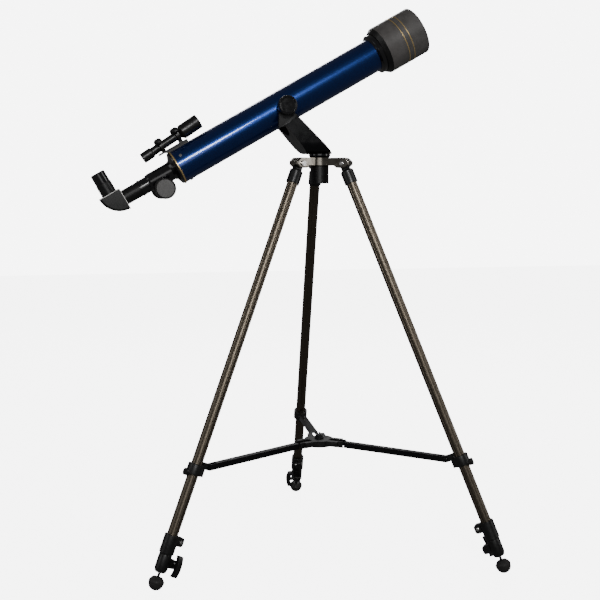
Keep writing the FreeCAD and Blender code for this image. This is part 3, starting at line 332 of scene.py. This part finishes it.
# The rear trim ring: a narrow ring of gold anodised aluminium with a rounded edge. It is turned
# and sits between the back of the tube and the flange of the focuser housing.
gold = Finish("gold_anodised", colour=(0.83, 0.6, 0.27), roughness=0.32, metallic=0.85)
gold.mottle(gold.noise(scale=400, detail=3), low=(0.72, 0.5, 0.2), high=(0.9, 0.68, 0.33))
gold.sheen_change(gold.noise(scale=900, detail=2), low=0.26, high=0.4)
softened("rear_trim_ring", gold.material, edge_mm=0.2)

# The tube baffle and the pivot bosses: a thin black ring inside the tube that stops stray
# light, and on each side of the tube a saddle with a threaded stud, in black enamel.
softened("tube_baffle", satin.material, edge_mm=0.4)
softened("pivot_bosses", satin.material, edge_mm=0.4)

# The altitude knobs: round glossy black mouldings with a dished face and a rolled rim. They are
# screwed on to the pivot studs and clamp the cheeks of the fork.
softened("altitude_knob_near", gloss.material, edge_mm=0.4)
softened("altitude_knob_far", gloss.material, edge_mm=0.4)

# The lens cell: a glossy black moulded cup with a spigot that is pushed into the front of the
# tube. A ring in front holds the two glasses of the objective against its shoulder.
softened("lens_cell", gloss.material, edge_mm=0.5)
softened("lens_retainer", satin.material, edge_mm=0.4)

# The dew shield: a wide collar of dark grey plastic with a fine matte grain, moulded and pushed
# on over the cell. The sloping face at its back is plain black.
TUBE_RISE = math.radians(29.75)
CHAMFER_LENGTH = 0.010
matte = Finish("grey_matte", colour=(0.09, 0.085, 0.082), roughness=0.5)
matte.mottle(matte.noise(scale=60, detail=4), low=(0.078, 0.073, 0.07), high=(0.105, 0.098, 0.095))
matte.relief(matte.noise(scale=900, detail=3), depth_mm=0.05, strength=0.6)
shield = softened("dew_shield", matte.material, edge_mm=0.5)
shield.data.materials.append(satin.material)
along_tube = Vector((math.cos(TUBE_RISE), 0, math.sin(TUBE_RISE)))
shield_back = min(corner.co.dot(along_tube) for corner in shield.data.vertices)
for face in shield.data.polygons:
    face.material_index = int(face.center.dot(along_tube) < shield_back + CHAMFER_LENGTH)

# The shield's bands: two thin rings of gold anodised aluminium, sprung into shallow grooves
# round the dew shield.
softened("dew_shield_bands", gold.material, edge_mm=0.1)

# The glass: a pair of lenses in the cell with air between them, a right-angle prism in the
# diagonal, and small lenses in the eyepiece and finder, all ground, polished and coated.
glass = Finish("coated_glass", colour=(0.93, 0.97, 0.95), roughness=0.02)
glass.set("Transmission Weight", 1.0).set("IOR", 1.52)
glass.set("Coat Weight", 0.4).set("Coat Tint", (0.5, 0.9, 0.7, 1))
for node in ("objective_lens", "diagonal_prism", "eyepiece_lenses", "finder_lenses"):
    softened(node, glass.material, edge_mm=0)

# The focuser: a glossy black moulding with a short cone and a sleeve, whose spigot is held in
# the tube by three bright screws, and the black drawtube that slides in it.
softened("focuser_housing", gloss.material, edge_mm=0.4)
softened("rear_cell_screws", steel.material, edge_mm=0.15)
softened("drawtube", gloss.material, edge_mm=0.4)

# The rack and pinion: a bright steel rack let into the underside of the drawtube, and the
# toothed shaft that drives it, which turns in the box under the housing.
softened("focus_rack", steel.material, edge_mm=0.15)
softened("pinion_shaft", steel.material, edge_mm=0.15)


# The focus knobs: black mouldings pressed on both ends of the pinion shaft. Each one has a flat
# face of satin grey plastic set inside its rolled rim.
TURNED_STEPS = 96
SHARP_FROM = math.radians(30)


def turned_piece(name, outline_mm, start, along, material, body):
    """A solid of revolution from (along, radius) points, from a start point along a direction."""
    shape = bmesh.new()
    points = [shape.verts.new((a / 1000, 0, r / 1000)) for a, r in outline_mm]
    edges = [shape.edges.new(pair) for pair in zip(points, points[1:])]
    bmesh.ops.spin(shape, geom=points + edges, axis=(1, 0, 0), cent=(0, 0, 0), dvec=(0, 0, 0),
                   angle=2 * math.pi, steps=TURNED_STEPS, use_merge=True)
    bmesh.ops.remove_doubles(shape, verts=shape.verts, dist=SAME_POINT / 10)
    bmesh.ops.recalc_face_normals(shape, faces=shape.faces)
    turn = Vector(along).to_track_quat("X", "Z").to_matrix().to_4x4()
    bmesh.ops.transform(shape, matrix=Matrix.Translation(start) @ turn, verts=shape.verts)
    data = bpy.data.meshes.new(name)
    shape.to_mesh(data)
    shape.free()
    data.shade_smooth()
    data.set_sharp_from_angle(angle=SHARP_FROM)
    data.materials.append(material)
    piece = bpy.data.objects.new(name, data)
    bpy.context.scene.collection.objects.link(piece)
    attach(piece, body)


FACE_R = 16.4
FACE_THICK = 0.95
FACE_SIDE = 0.5
FACE_SHOULDER = 0.85
FACE_EDGE = 0.5
SET_IN = 0.0013
softened("focus_knobs", satin.material, edge_mm=0.4)
face_grey = Finish("knob_face", colour=(0.105, 0.102, 0.1), roughness=0.42)
face_grey.mottle(face_grey.noise(scale=300, detail=3), low=(0.09, 0.088, 0.086),
                 high=(0.12, 0.117, 0.115))
face_grey.relief(face_grey.noise(scale=1500, detail=2), depth_mm=0.02, strength=0.5)
face_outline = [(0, 0), (0, FACE_R), (FACE_SIDE, FACE_R), (FACE_SHOULDER, FACE_R - FACE_EDGE),
                (FACE_THICK, 0)]
focus_axis = next(joint["pos_m"] for joint in frame["joints"] if joint["name"] == "focus_turn")
near_end, far_end = (corner[1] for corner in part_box("focus_knobs"))
for side, word, end in ((-1, "near", near_end), (1, "far", far_end)):
    turned_piece("focus_knob_face_" + word, face_outline,
                 start=Vector((focus_axis[0], end - side * SET_IN, focus_axis[2])),
                 along=(0, side, 0), material=face_grey.material, body="focus_spindle")

# The star diagonal: a black moulded quarter round that holds the prism, with a nose that slides
# into the drawtube. Thin bright plates close its two flat faces.
softened("diagonal_housing", satin.material, edge_mm=0.4)
softened("diagonal_plates", steel.material, edge_mm=0.15)

# The eyepiece: a glossy black turned barrel with a wider eye end, which is pushed by hand into
# the holder on top of the diagonal.
softened("eyepiece_body", gloss.material, edge_mm=0.4)

# The finder: a small black telescope in two rings. The rings are one piece with a foot curved
# to the tube, in black enamel, and the thumb screws in them hold and aim the finder.
for node in ("finder_bracket", "finder_tube", "finder_thumbscrews"):
    softened(node, satin.material, edge_mm=0.4)
